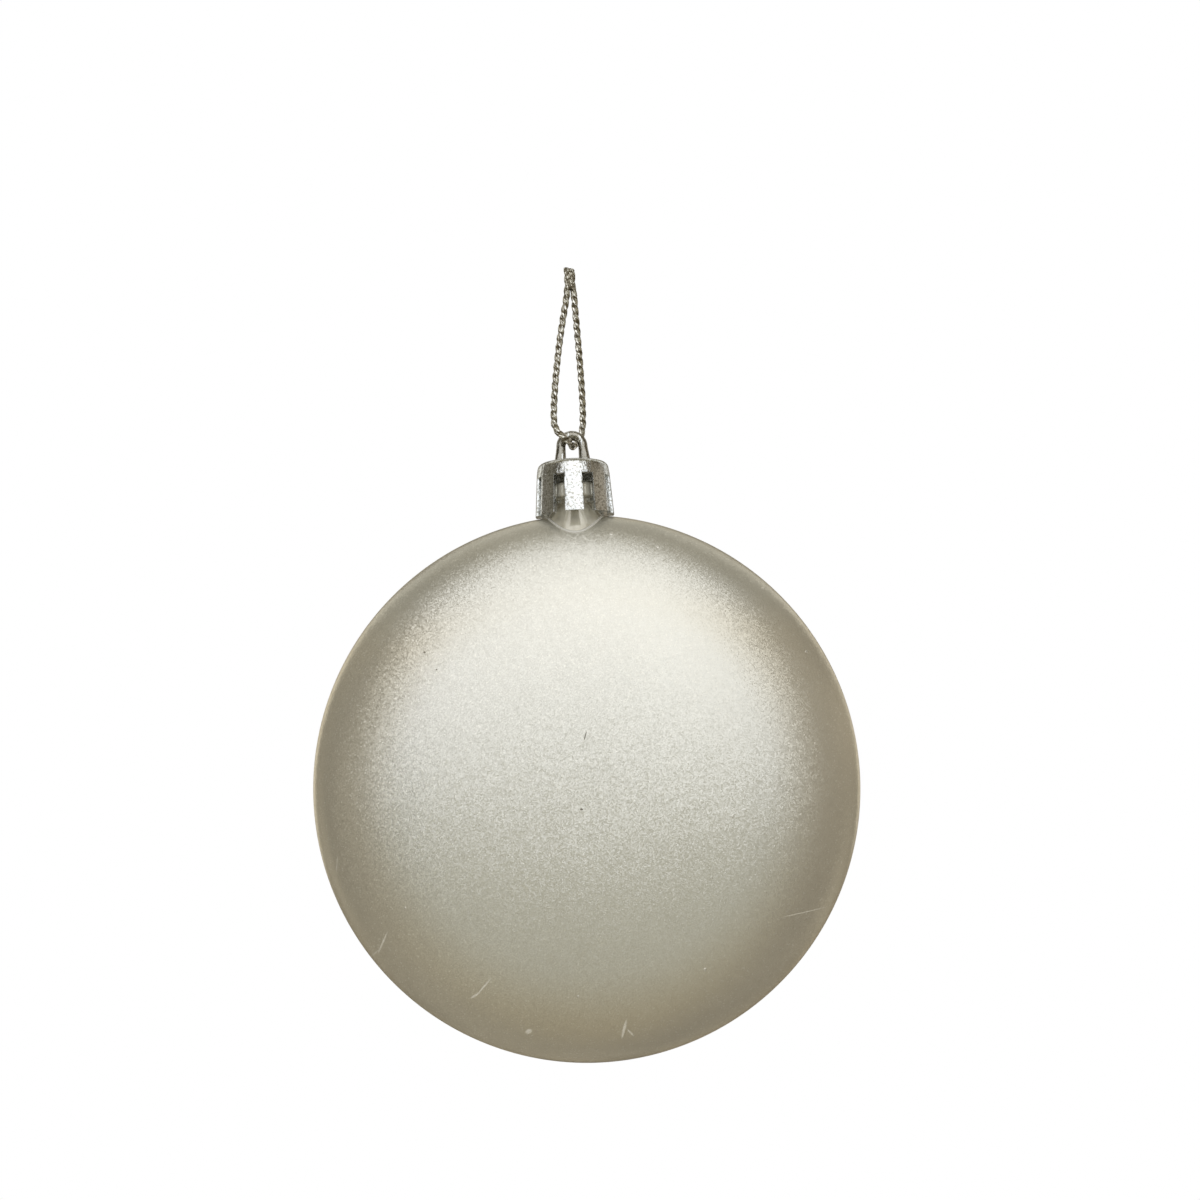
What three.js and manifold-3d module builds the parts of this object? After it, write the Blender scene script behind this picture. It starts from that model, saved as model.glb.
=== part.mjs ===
// A flat disc Christmas ornament: two satin plastic half shells welded round the rim, a glossy
// neck held between them, a silver push-on cap with eight spring fingers and a moulded eye, and
// a short twisted cord loop through the eye with its two ends fused together.
//
// Millimetres, +Z up, front towards -Y. The ornament hangs from its cord, and the origin is the
// hanging point: the top of the open loop, on the plumb line of the eye, the neck and the disc.
import * as THREE from "three";
import { mergeVertices } from "three/addons/utils/BufferGeometryUtils.js";
import Module from "manifold-3d";

// Gaps
const SEAM_GAP = 0.3; // between the two half shells
const FOOT_GAP = 0.3; // round the neck where it comes out of the shells
const FLANGE_DROP = 0.6; // from the shells' inside down to the neck's flange
const BEAD_GAP = 0.3; // from the fingers' beads up to the neck's collar
const CORD_GAP = 0.32; // from the cord up to the top of the eye's hole
const CORD_END_GAP = 0.38; // from the cord's two ends up to their fused end

// Cord
const CORD_DIAMETER = 0.95;
const CORD_SIDES = 8;
const CORD_STEPS = 66;
const FUSED_SWELL = 0.1; // how much deeper than the cord the fused end is
const FUSED_HEIGHT = 3.7;
const FUSED_TAPER = 0.16; // how much each side leans in over the fused end's height
const FUSED_SLANT = 0.45; // the cut across the top falls by this much

// Eye on top of the cap
const EYE_SIDE_GAP = 0.475; // from the cord out to the sides of the eye's hole
const EYE_THICKNESS = 1.35; // from the hole out to the top of the arch
const EYE_SPREAD = 0.5; // how far each leg of the arch flares out at its foot
const EYE_DEPTH = 1.9;
const EYE_BEVEL = 0.3;
const EYE_SINK = 0.3; // how far the legs go down into the crown
const EYE_CENTRE_HEIGHT = 2.55; // from the cap's shoulder line up to the middle of the hole's arc

// Cap
const CAP_FLARE = 0.55; // how much wider the cap is at the finger ends than at its shoulder
const CAP_WALL = 0.85;
const CAP_SHOULDER_RADIUS = 0.9;
const CROWN_RISE = 0.4; // the crown's gentle dome
const CROWN_THICKNESS = 1.1;
const FINGER_COUNT = 8;
const FINGER_LENGTH = 5.55;
const SLOT_ABOVE = 2.2; // solid band from the shoulder line down to the slots' tops
const SLOT_WIDTH = 1.7;
const BEAD_HEIGHT = 0.8;
const BEAD_BITE = 0.65; // how far a finger's bead reaches in under the collar

// Neck
const BORE_RADIUS = 1.6;
const COLLAR_RADIUS = 3.95;
const COLLAR_CLEARANCE = 0.45; // from the collar out to the inside of the cap's shoulder
const COLLAR_HEIGHT = 2.15;
const GROOVE_RADIUS = 2.45;
const GROOVE_HEIGHT = 0.7;
const CROWN_CLEARANCE = 2.5; // from the collar's top up to the crown's underside
const FLARE_HEIGHT = 2.2; // from the groove down to where the foot is full width
const FOOT_RADIUS = 4.0;
const FLANGE_REACH = 0.8; // how far the flange goes under the shells, past their opening
const FLANGE_THICKNESS = 1.0;

// Disc
const DISC_RADIUS = 40;
const DISC_HALF_THICKNESS = 10;
const DISC_WALL = 1.2;
const FACE_FULLNESS = 2.3; // 2 would be an ellipse, more is flatter across the face
const CAP_TO_DISC = -0.05; // from the fingers' ends down to the top of the disc, hidden inside them

const LATHE_STEPS = 72;
const SMALL_LATHE_STEPS = 48;
const FACE_STEPS = 14;

// The cord's middle line, down the front strand, through the eye and up the back strand.
// Heights are from the hanging point. It leans to the right at the top, as the loop lies.
const CORD_ROUTE = [
  [0.22, -0.05, 0],
  [0.04, -0.1, -1],
  [-0.36, -0.24, -3],
  [-0.76, -0.42, -5],
  [-1.12, -0.64, -7],
  [-1.44, -0.9, -9],
  [-1.72, -1.18, -11],
  [-1.98, -1.48, -13],
  [-2.2, -1.8, -15],
  [-2.37, -2.12, -17],
  [-2.46, -2.36, -18.5],
  [-2.46, -2.56, -19.5],
  [-2.33, -2.68, -20.3],
  [-2.04, -2.72, -20.93],
  [-1.59, -2.68, -21.44],
  [-1.04, -2.51, -21.89],
  [-0.53, -2.1, -22.26],
  [-0.2, -1.48, -22.51],
  [-0.06, -0.76, -22.61],
  [0, 0, -22.62],
  [0.06, 0.76, -22.6],
  [0.17, 1.48, -22.47],
  [0.41, 2.1, -22.14],
  [0.78, 2.51, -21.65],
  [1.19, 2.69, -21.03],
  [1.5, 2.69, -20.35],
  [1.67, 2.6, -19.6],
  [1.78, 2.44, -18.6],
  [1.84, 2.2, -17.2],
  [1.86, 1.88, -15.3],
  [1.82, 1.56, -13.3],
  [1.76, 1.26, -11.3],
  [1.68, 0.97, -9.2],
  [1.59, 0.71, -7.1],
  [1.49, 0.48, -5],
  [1.39, 0.28, -3],
  [1.31, 0.12, -1.1],
  [1.28, 0.05, 0],
].map(([x, y, z]) => new THREE.Vector3(x, y, z));

// Heights, worked down from the cord's lowest point
const cordLowest = Math.min(...CORD_ROUTE.map((point) => point.z));
const cordRadius = CORD_DIAMETER / 2;
const eyeHoleRadius = cordRadius + EYE_SIDE_GAP;
const eyeCentre = cordLowest + cordRadius + CORD_GAP - eyeHoleRadius;
const shoulder = eyeCentre - EYE_CENTRE_HEIGHT;
const crownUnderside = shoulder + CROWN_RISE - CROWN_THICKNESS;
const slotTop = shoulder - SLOT_ABOVE;
const fingerEnd = slotTop - FINGER_LENGTH;
const collarTop = crownUnderside - CROWN_CLEARANCE;
const grooveTop = collarTop - COLLAR_HEIGHT;
const grooveBottom = grooveTop - GROOVE_HEIGHT;
const footTop = grooveBottom - FLARE_HEIGHT;
const discTop = fingerEnd - CAP_TO_DISC;
const discCentre = discTop - DISC_RADIUS;

// Widths, worked outwards from the neck
const capTopRadius = COLLAR_RADIUS + COLLAR_CLEARANCE + CAP_WALL;
const openingRadius = FOOT_RADIUS + FOOT_GAP;
const flangeRadius = openingRadius + FLANGE_REACH;

// Materials
const satinPearl = new THREE.MeshStandardMaterial({ color: 0xcfcbbf, roughness: 0.42, metalness: 0.35 });
const glossyNeck = new THREE.MeshStandardMaterial({ color: 0xb4ad9c, roughness: 0.12, metalness: 0.3 });
const silveredCap = new THREE.MeshStandardMaterial({ color: 0xd6d4cd, roughness: 0.08, metalness: 1.0 });
const silverCord = new THREE.MeshStandardMaterial({ color: 0xb9b3a2, roughness: 0.35, metalness: 0.7 });

const wasm = await Module();
wasm.setup();

// A closed geometry as a manifold-3d solid, with its shared points merged.
function toSolid(geometry) {
  const bare = geometry.index ? geometry.toNonIndexed() : geometry.clone();
  bare.deleteAttribute("normal");
  bare.deleteAttribute("uv");
  const merged = mergeVertices(bare, 1e-4);
  const vertProperties = merged.attributes.position.array;
  const triVerts = new Uint32Array(merged.index.array);
  return new wasm.Manifold(new wasm.Mesh({ numProp: 3, vertProperties, triVerts }));
}

function toGeometry(solid) {
  const mesh = solid.getMesh();
  const geometry = new THREE.BufferGeometry();
  geometry.setAttribute("position", new THREE.BufferAttribute(mesh.vertProperties, 3));
  geometry.setIndex(new THREE.BufferAttribute(mesh.triVerts, 1));
  geometry.computeVertexNormals();
  return geometry;
}

// A profile of [radius, height] points turned about the upright axis.
function turned(profile, steps) {
  const points = profile.map(([radius, height]) => new THREE.Vector2(radius, height));
  return new THREE.LatheGeometry(points, steps).rotateX(Math.PI / 2);
}

// Points on a round corner, from one angle to another in degrees.
function corner(centreRadius, centreHeight, radius, from, to, steps) {
  const points = [];
  for (let i = 0; i <= steps; i += 1) {
    const angle = THREE.MathUtils.degToRad(from + ((to - from) * i) / steps);
    points.push([centreRadius + radius * Math.cos(angle), centreHeight + radius * Math.sin(angle)]);
  }
  return points;
}

// A flat closed outline through [across, height] points.
function toShape(points) {
  return new THREE.Shape(points.map(([across, height]) => new THREE.Vector2(across, height)));
}

// One face's outline from the middle of the face out to the seam, as [radius, depth] points.
function faceOutline(radius, halfThickness) {
  const seamAngle = Math.acos(SEAM_GAP / 2 / halfThickness);
  const points = [];
  for (let i = 0; i <= FACE_STEPS; i += 1) {
    const angle = (seamAngle * i) / FACE_STEPS;
    const across = i === 0 ? 0 : radius * Math.sin(angle) ** (2 / FACE_FULLNESS);
    points.push([across, halfThickness * Math.cos(angle)]);
  }
  return points;
}

// A half shell opens towards the seam, and its neck opening is cut out of the top.
function halfShell(name, towards) {
  const outside = faceOutline(DISC_RADIUS, DISC_HALF_THICKNESS);
  const inside = faceOutline(DISC_RADIUS - DISC_WALL, DISC_HALF_THICKNESS - DISC_WALL);
  const loop = [...inside, ...outside.reverse()];
  const points = loop.map(([radius, depth]) => new THREE.Vector2(radius, -depth));
  const bowl = new THREE.LatheGeometry(points.reverse(), LATHE_STEPS);
  if (towards === "back") {
    bowl.rotateX(Math.PI);
  }
  bowl.translate(0, 0, discCentre);
  const openingDepth = DISC_RADIUS;
  const opening = new THREE.CylinderGeometry(openingRadius, openingRadius, openingDepth, SMALL_LATHE_STEPS);
  opening.rotateX(Math.PI / 2);
  opening.translate(0, 0, discTop);
  const shell = new THREE.Mesh(toGeometry(toSolid(bowl).subtract(toSolid(opening))), satinPearl);
  shell.name = name;
  return shell;
}

// The height of the shells' inside at the flange's edge, where the disc is narrowest.
function insideHeightAt(depth) {
  const share = 1 - (depth / (DISC_HALF_THICKNESS - DISC_WALL)) ** 2;
  return discCentre + (DISC_RADIUS - DISC_WALL) * share ** (1 / FACE_FULLNESS);
}

// Collar, groove and flared foot in one, with an open bore and a flange inside the shells.
function neck() {
  const flangeTop = insideHeightAt(flangeRadius) - FLANGE_DROP;
  const flangeBottom = flangeTop - FLANGE_THICKNESS;
  const collarRound = COLLAR_HEIGHT * 0.35;
  const flare = [];
  const flareSteps = 6;
  for (let i = 0; i <= flareSteps; i += 1) {
    const fall = i / flareSteps;
    const radius = GROOVE_RADIUS + (FOOT_RADIUS - GROOVE_RADIUS) * Math.sin((fall * Math.PI) / 2);
    flare.push([radius, grooveBottom - FLARE_HEIGHT * fall]);
  }
  const profile = [
    [BORE_RADIUS, flangeBottom],
    [flangeRadius, flangeBottom],
    [flangeRadius, flangeTop],
    [FOOT_RADIUS, flangeTop],
    ...flare.reverse(),
    [GROOVE_RADIUS, grooveTop],
    [COLLAR_RADIUS - 0.15, grooveTop],
    [COLLAR_RADIUS, grooveTop + 0.15],
    ...corner(COLLAR_RADIUS - collarRound, collarTop - collarRound, collarRound, 0, 90, 4),
    [BORE_RADIUS, collarTop],
    [BORE_RADIUS, flangeBottom],
  ];
  const mesh = new THREE.Mesh(turned(profile, SMALL_LATHE_STEPS), glossyNeck);
  mesh.name = "neck";
  return mesh;
}

// The cap's wall widens slightly from its shoulder down to the finger ends.
function capRadiusAt(height) {
  const fall = (shoulder - height) / (shoulder - fingerEnd);
  return capTopRadius + CAP_FLARE * fall;
}

function capBody() {
  const beadTop = grooveTop - BEAD_GAP;
  const beadBottom = beadTop - BEAD_HEIGHT;
  const beadRadius = COLLAR_RADIUS - BEAD_BITE;
  const crownEdge = capTopRadius - CAP_SHOULDER_RADIUS;
  const inner = (height) => capRadiusAt(height) - CAP_WALL;
  const crown = [];
  const crownSteps = 4;
  for (let i = 0; i < crownSteps; i += 1) {
    const out = i / crownSteps;
    crown.push([crownEdge * out, shoulder + CROWN_RISE * (1 - out * out)]);
  }
  const profile = [
    [0, crownUnderside],
    [inner(crownUnderside), crownUnderside],
    [inner(beadTop), beadTop],
    [beadRadius, beadTop],
    [beadRadius, beadBottom + BEAD_HEIGHT / 3],
    [inner(beadBottom), beadBottom],
    [inner(fingerEnd), fingerEnd],
    [capRadiusAt(fingerEnd), fingerEnd],
    ...corner(crownEdge, shoulder - CAP_SHOULDER_RADIUS, CAP_SHOULDER_RADIUS, 0, 90, 4),
    ...crown.reverse(),
  ];
  return toSolid(turned(profile, LATHE_STEPS));
}

// The slots run from just under the crown to the finger ends, and leave the eight fingers.
function fingerSlots() {
  const below = 1;
  const depth = capTopRadius + CAP_FLARE + below;
  const height = slotTop - fingerEnd + below;
  const slots = [];
  for (let i = 0; i < FINGER_COUNT; i += 1) {
    const slot = new THREE.BoxGeometry(depth, SLOT_WIDTH, height);
    slot.translate(depth / 2, 0, slotTop - height / 2);
    slot.rotateZ(((i + 0.5) * 2 * Math.PI) / FINGER_COUNT + Math.PI / 2);
    slots.push(toSolid(slot));
  }
  return wasm.Manifold.union(slots);
}

// The arch has a round top and legs that flare out into the crown.
function eyeArch() {
  const outerRadius = eyeHoleRadius + EYE_THICKNESS;
  const footHeight = -EYE_CENTRE_HEIGHT - EYE_SINK;
  const sill = CROWN_RISE - EYE_CENTRE_HEIGHT;
  const outline = toShape([
    [-outerRadius - EYE_SPREAD, footHeight],
    [outerRadius + EYE_SPREAD, footHeight],
    [outerRadius + EYE_SPREAD / 3, footHeight / 2],
    ...corner(0, 0, outerRadius, 0, 180, 16),
    [-outerRadius - EYE_SPREAD / 3, footHeight / 2],
  ]);
  const hole = [
    [-eyeHoleRadius, sill],
    [eyeHoleRadius, sill],
    ...corner(0, 0, eyeHoleRadius, 0, 180, 12),
  ];
  outline.holes.push(toShape(hole));
  const arch = new THREE.ExtrudeGeometry(outline, {
    depth: EYE_DEPTH - 2 * EYE_BEVEL,
    bevelEnabled: true,
    bevelThickness: EYE_BEVEL,
    bevelSize: EYE_BEVEL,
    bevelOffset: -EYE_BEVEL,
    bevelSegments: 2,
  });
  arch.translate(0, 0, -EYE_DEPTH / 2 + EYE_BEVEL);
  arch.rotateX(Math.PI / 2);
  arch.translate(0, 0, eyeCentre);
  return toSolid(arch);
}

function hangerCap() {
  const solid = capBody().subtract(fingerSlots()).add(eyeArch());
  const mesh = new THREE.Mesh(toGeometry(solid), silveredCap);
  mesh.name = "hanger_cap";
  return mesh;
}

function cordLoop() {
  const section = toShape(corner(0, 0, cordRadius, 0, 360 - 360 / CORD_SIDES, CORD_SIDES - 1));
  const route = new THREE.CatmullRomCurve3(CORD_ROUTE, false, "centripetal");
  const tube = new THREE.ExtrudeGeometry(section, { steps: CORD_STEPS, extrudePath: route });
  const mesh = new THREE.Mesh(tube, silverCord);
  mesh.name = "cord_loop";
  return mesh;
}

// The two cord ends melted side by side into one flat end, cut off slightly aslant.
function cordWeld() {
  const start = CORD_ROUTE[0];
  const finish = CORD_ROUTE[CORD_ROUTE.length - 1];
  const middle = (start.x + finish.x) / 2;
  const halfWidth = (finish.x - start.x) / 2 + cordRadius;
  const bottom = Math.max(start.z, finish.z) + CORD_END_GAP;
  const top = bottom + FUSED_HEIGHT;
  const topHalfWidth = halfWidth - FUSED_TAPER;
  const depth = CORD_DIAMETER + FUSED_SWELL;
  const edge = 0.2;
  const outline = toShape([
    [middle - halfWidth, bottom],
    [middle + halfWidth, bottom],
    [middle + topHalfWidth, top - FUSED_SLANT],
    [middle - topHalfWidth + edge, top],
    [middle - topHalfWidth, top - edge],
  ]);
  const bar = new THREE.ExtrudeGeometry(outline, {
    depth: depth - 2 * edge,
    bevelEnabled: true,
    bevelThickness: edge,
    bevelSize: edge,
    bevelOffset: -edge,
    bevelSegments: 2,
  });
  bar.translate(0, 0, -depth / 2 + edge);
  bar.rotateX(Math.PI / 2);
  const mesh = new THREE.Mesh(bar, silverCord);
  mesh.name = "cord_weld";
  return mesh;
}

const ornament = new THREE.Group();
const disc = new THREE.Group();
disc.add(halfShell("front_shell", "front"), halfShell("back_shell", "back"), neck());
ornament.add(disc, hangerCap(), cordLoop(), cordWeld());

export default ornament;
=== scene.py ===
"""A flat pearl disc ornament with a silver push-on cap and a twisted metallic cord loop.

The pieces are modelled in millimetres in the part's own frame, +Z up and the front towards -Y,
and each one is brought down to metres as its last step.
"""

import math

import bpy
from mathutils import Matrix, Vector


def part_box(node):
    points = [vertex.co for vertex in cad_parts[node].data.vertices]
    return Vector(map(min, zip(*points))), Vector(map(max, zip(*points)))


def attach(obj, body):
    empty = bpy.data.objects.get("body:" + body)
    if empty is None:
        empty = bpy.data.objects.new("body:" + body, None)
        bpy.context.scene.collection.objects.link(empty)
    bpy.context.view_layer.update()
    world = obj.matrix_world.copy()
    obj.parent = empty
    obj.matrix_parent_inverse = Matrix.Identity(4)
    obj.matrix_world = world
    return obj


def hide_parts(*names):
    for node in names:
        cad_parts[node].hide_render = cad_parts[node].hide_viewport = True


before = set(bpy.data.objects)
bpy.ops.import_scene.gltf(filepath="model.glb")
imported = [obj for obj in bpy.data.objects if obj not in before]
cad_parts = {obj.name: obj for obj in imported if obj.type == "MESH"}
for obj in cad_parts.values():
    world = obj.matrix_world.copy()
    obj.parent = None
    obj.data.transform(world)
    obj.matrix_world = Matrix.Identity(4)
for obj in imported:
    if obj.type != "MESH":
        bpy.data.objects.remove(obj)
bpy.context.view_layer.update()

MM = 0.001
TURN = 2 * math.pi


def box_in_mm(node):
    low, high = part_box(node)
    return low / MM, high / MM


# Sizes read from the frame, in millimetres
shell_low, shell_high = box_in_mm("front_shell")
cap_low, cap_high = box_in_mm("hanger_cap")
neck_low, neck_high = box_in_mm("neck")
weld_low, weld_high = box_in_mm("cord_weld")
FUSED_TOP = weld_high.z
DISC_RADIUS = (shell_high.x - shell_low.x) / 2
DISC_HALF_THICKNESS = -shell_low.y
DISC_CENTRE = shell_low.z + DISC_RADIUS
CAP_BOTTOM_RADIUS = cap_high.x
FINGER_END = cap_low.z
EYE_TOP = cap_high.z
COLLAR_TOP = neck_high.z
FLANGE_BOTTOM = neck_low.z
FLANGE_RADIUS = neck_high.x

# Disc
FACE_FULLNESS = 2.3
DISC_WALL = 1.2
SEAM_HALF_GAP = 0.03
SEAM_LIP = 0.05
SEAM_LIP_WIDTH = 0.45
FACE_STEPS = 64
INSIDE_STEPS = 28
DISC_TURN_STEPS = 224
OPENING_GAP = 0.05

# Neck
BORE_RADIUS = 1.6
COLLAR_RADIUS = 3.95
COLLAR_HEIGHT = 2.15
COLLAR_ROUND = 0.75
COLLAR_EDGE_ROUND = 0.15
GROOVE_RADIUS = 2.45
GROOVE_HEIGHT = 0.7
GROOVE_ROUND = 0.12
BORE_ROUND = 0.2
FOOT_RADIUS = 4.0
FOOT_STEPS = 32
FOOT_CURVE = 0.92  # 1 would be a straight cone
FLANGE_THICKNESS = 1.0
NECK_TURN_STEPS = 128
FILLET_RADIUS = 0.24
FILLET_OFFSET = 0.06  # out from the foot, and down into the shells

# Cap
CAP_FLARE = 0.55
CAP_WALL = 0.85
CAP_SHOULDER_ROUND = 0.9
CAP_INNER_ROUND = 0.35
CAP_EDGE_BEVEL = 0.1
CROWN_RISE = 0.4
CROWN_THICKNESS = 1.1
FINGER_LENGTH = 5.55
SLOT_ABOVE = 2.2
FINGER_COUNT = 8
BEAD_GAP = 0.3
BEAD_HEIGHT = 0.8
BEAD_BITE = 0.65

# Eye
EYE_HOLE_RADIUS = 0.95
EYE_THICKNESS = 1.35
EYE_SPREAD = 0.5
EYE_DEPTH = 1.9
EYE_CENTRE_HEIGHT = 2.55
EYE_SINK = 0.3
EYE_ROUND = 0.66
LEG_STEPS = 8
LEG_CURVE = 1.2  # 1 would flare the legs in a straight line

# Marks on the front face: across and up from the middle, angle in degrees, length and width
SCRATCHES = [
    (-30.2, -21.0, 62, 4.8, 0.3),
    (-31.6, -22.6, 40, 2.2, 0.18),
    (-15.8, -27.6, 47, 4.0, 0.3),
    (-17.2, -28.9, 30, 1.8, 0.4),
    (11.2, -12.9, -38, 2.6, 0.16),
    (30.5, -19.2, 8, 9.0, 0.16),
    (3.8, -34.6, 75, 3.6, 0.5),
    (4.7, -35.2, -50, 1.8, 0.3),
    (-9.8, -34.4, 20, 1.3, 0.9),
    (-36.4, -9.5, 80, 3.2, 0.14),
    (-12.0, 5.5, 85, 2.4, 0.14),
]
PITS = [
    (-22.3, 20.2, 0, 0.42, 0.32),
    (-0.9, -3.1, 0, 0.5, 0.36),
    (0.1, 7.2, 72, 1.5, 0.16),
    (-20.6, 17.6, 0, 0.25, 0.25),
]
PIMPLES = [
    (26.8, 27.7, 0, 0.6, 0.6),
    (32.6, 18.2, 0, 0.5, 0.5),
    (5.2, 36.6, 0, 0.8, 0.8),
    (11.8, 34.3, 0, 0.55, 0.55),
    (-26.5, -16.0, 0, 0.4, 0.4),
    (17.0, -13.5, 0, 0.35, 0.35),
    (20.4, -5.0, 0, 0.45, 0.45),
    (-2.5, -29.5, 0, 0.35, 0.35),
]

# Cord
CORD_DIAMETER = 0.95
CORD_SPACING = 0.075  # between the rings of each ply's mesh
CORD_LAY = 4.5
PLY_COUNT = 3
PLY_REACH = 0.265  # from the cord's middle line to a ply's
PLY_RADIUS = 0.24
PLY_SIDES = 30
THREAD_COUNT = 5
THREAD_LAY = 1.9
THREAD_RELIEF = 0.16
# Pitch of the film along a ply, set to the glints' spacing, so the film also paints highlights
FILM_AND_GLINT_PITCH = 1.5
CORD_ROUTE = [
    (0.22, -0.05, 0),
    (0.04, -0.1, -1),
    (-0.36, -0.24, -3),
    (-0.76, -0.42, -5),
    (-1.12, -0.64, -7),
    (-1.44, -0.9, -9),
    (-1.72, -1.18, -11),
    (-1.98, -1.48, -13),
    (-2.2, -1.8, -15),
    (-2.37, -2.12, -17),
    (-2.46, -2.36, -18.5),
    (-2.46, -2.56, -19.5),
    (-2.33, -2.68, -20.3),
    (-2.04, -2.72, -20.93),
    (-1.59, -2.68, -21.44),
    (-1.04, -2.51, -21.89),
    (-0.53, -2.1, -22.26),
    (-0.2, -1.48, -22.51),
    (-0.06, -0.76, -22.61),
    (0, 0, -22.62),
    (0.06, 0.76, -22.6),
    (0.17, 1.48, -22.47),
    (0.41, 2.1, -22.14),
    (0.78, 2.51, -21.65),
    (1.19, 2.69, -21.03),
    (1.5, 2.69, -20.35),
    (1.67, 2.6, -19.6),
    (1.78, 2.44, -18.6),
    (1.84, 2.2, -17.2),
    (1.86, 1.88, -15.3),
    (1.82, 1.56, -13.3),
    (1.76, 1.26, -11.3),
    (1.68, 0.97, -9.2),
    (1.59, 0.71, -7.1),
    (1.49, 0.48, -5),
    (1.39, 0.28, -3),
    (1.31, 0.12, -1.1),
    (1.28, 0.05, 0),
]


# ---------------------------------------------------------------- camera


def camera():
    """Near, straight in front of the disc's middle, and turned so that the ornament leans left.

    It looks up only a little and the view is shifted for the rest, so the disc stays round."""
    lean = math.radians(2.5)
    look_up = math.radians(2.43)
    distance = 240
    frame_width = 175.8
    ahead = Vector((0, 1, 0))
    data = bpy.data.cameras.new("camera")
    data.sensor_width = 36
    data.lens = data.sensor_width * distance / frame_width
    data.shift_x = 0.011
    data.shift_y = 0.098
    data.clip_start = 0.01
    data.clip_end = 50
    held = bpy.data.objects.new("camera", data)
    bpy.context.scene.collection.objects.link(held)
    upright = Vector((math.sin(lean), 0, math.cos(lean)))
    look = ahead * math.cos(look_up) + upright * math.sin(look_up)
    up = upright * math.cos(look_up) - ahead * math.sin(look_up)
    turn = Matrix((look.cross(up), up, -look)).transposed()
    place = Vector((0, -distance, DISC_CENTRE)) * MM
    held.matrix_world = Matrix.Translation(place) @ turn.to_4x4()
    bpy.context.scene.camera = held


# ---------------------------------------------------------------- modelling helpers


def start():
    """Nothing selected, so that the next primitive is alone."""
    if bpy.context.object and bpy.context.object.mode != "OBJECT":
        bpy.ops.object.mode_set(mode="OBJECT")
    bpy.ops.object.select_all(action="DESELECT")


def named(name):
    piece = bpy.context.object
    piece.name = name
    piece.data.name = name
    return piece


def only(piece):
    start()
    piece.select_set(True)
    bpy.context.view_layer.objects.active = piece


def pick(piece, kind, test):
    """Selects the vertices, edges or faces of a piece that pass a test of their place."""
    bpy.ops.object.mode_set(mode="EDIT")
    bpy.ops.mesh.select_mode(type=kind)
    bpy.ops.mesh.select_all(action="DESELECT")
    bpy.ops.object.mode_set(mode="OBJECT")
    mesh = piece.data
    if kind == "FACE":
        for face in mesh.polygons:
            face.select = test(face.center)
    elif kind == "EDGE":
        for edge in mesh.edges:
            edge.select = test(*[mesh.vertices[i].co for i in edge.vertices])
    else:
        for vertex in mesh.vertices:
            vertex.select = test(vertex.co)
    bpy.ops.object.mode_set(mode="EDIT")


def tidy(piece, merge=1e-4):
    """Welds doubled points and turns every face outwards."""
    only(piece)
    bpy.ops.object.mode_set(mode="EDIT")
    bpy.ops.mesh.select_all(action="SELECT")
    bpy.ops.mesh.remove_doubles(threshold=merge)
    bpy.ops.mesh.dissolve_degenerate(threshold=merge)
    bpy.ops.mesh.normals_make_consistent(inside=False)
    bpy.ops.object.mode_set(mode="OBJECT")


def chain(name, points, closed=True):
    """A line of edges through the points, extruded one step after another."""
    start()
    bpy.ops.mesh.primitive_plane_add(size=1, location=(0, 0, 0))
    piece = named(name)
    bpy.ops.object.mode_set(mode="EDIT")
    bpy.ops.mesh.select_mode(type="VERT")
    bpy.ops.mesh.select_all(action="SELECT")
    bpy.ops.mesh.merge(type="CENTER")
    bpy.ops.transform.translate(value=points[0])
    for here, there in zip(points, points[1:]):
        step = Vector(there) - Vector(here)
        bpy.ops.mesh.extrude_region_move(TRANSFORM_OT_translate={"value": step})
    if closed:
        ends = (Vector(points[0]), Vector(points[-1]))
        pick(piece, "VERT", lambda co: min((co - end).length for end in ends) < 1e-4)
        bpy.ops.mesh.edge_face_add()
    bpy.ops.object.mode_set(mode="OBJECT")
    return piece


def spun(name, points, centre, axis, steps, closed=True):
    """A closed solid, from a half outline turned about an axis."""
    piece = chain(name, points, closed)
    bpy.ops.object.mode_set(mode="EDIT")
    bpy.ops.mesh.select_all(action="SELECT")
    bpy.ops.mesh.spin(steps=steps, angle=TURN, center=centre, axis=axis)
    bpy.ops.object.mode_set(mode="OBJECT")
    tidy(piece)
    return piece


def use(piece, kind, **settings):
    """Adds a modifier and applies it."""
    only(piece)
    modifier = piece.modifiers.new(kind.lower(), kind)
    for key, value in settings.items():
        setattr(modifier, key, value)
    bpy.ops.object.modifier_apply(modifier=modifier.name)


def combine(piece, tool, operation):
    """Joins a tool to a piece or cuts it away, and removes the tool."""
    use(piece, "BOOLEAN", operation=operation, solver="EXACT", object=tool)
    bpy.data.objects.remove(tool)


def smooth(piece, angle=35):
    only(piece)
    bpy.ops.object.shade_smooth_by_angle(angle=math.radians(angle))


def to_metres(piece):
    piece.data.transform(Matrix.Diagonal((MM, MM, MM, 1)))
    piece.data.update()


def arc(centre_across, centre_up, radius, start_deg, end_deg, steps):
    """Points on a round corner, as (across, up) pairs."""
    points = []
    for i in range(steps + 1):
        angle = math.radians(start_deg + (end_deg - start_deg) * i / steps)
        points.append((centre_across + radius * math.cos(angle), centre_up + radius * math.sin(angle)))
    return points


# ---------------------------------------------------------------- disc


def face_outline(radius, half_thickness, steps):
    """(across, depth) points from the middle of a face out to the seam."""
    seam = math.acos(SEAM_HALF_GAP / half_thickness)
    points = []
    for i in range(steps + 1):
        angle = seam * i / steps
        across = radius * math.sin(angle) ** (2 / FACE_FULLNESS)
        points.append((across, half_thickness * math.cos(angle)))
    return points


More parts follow.
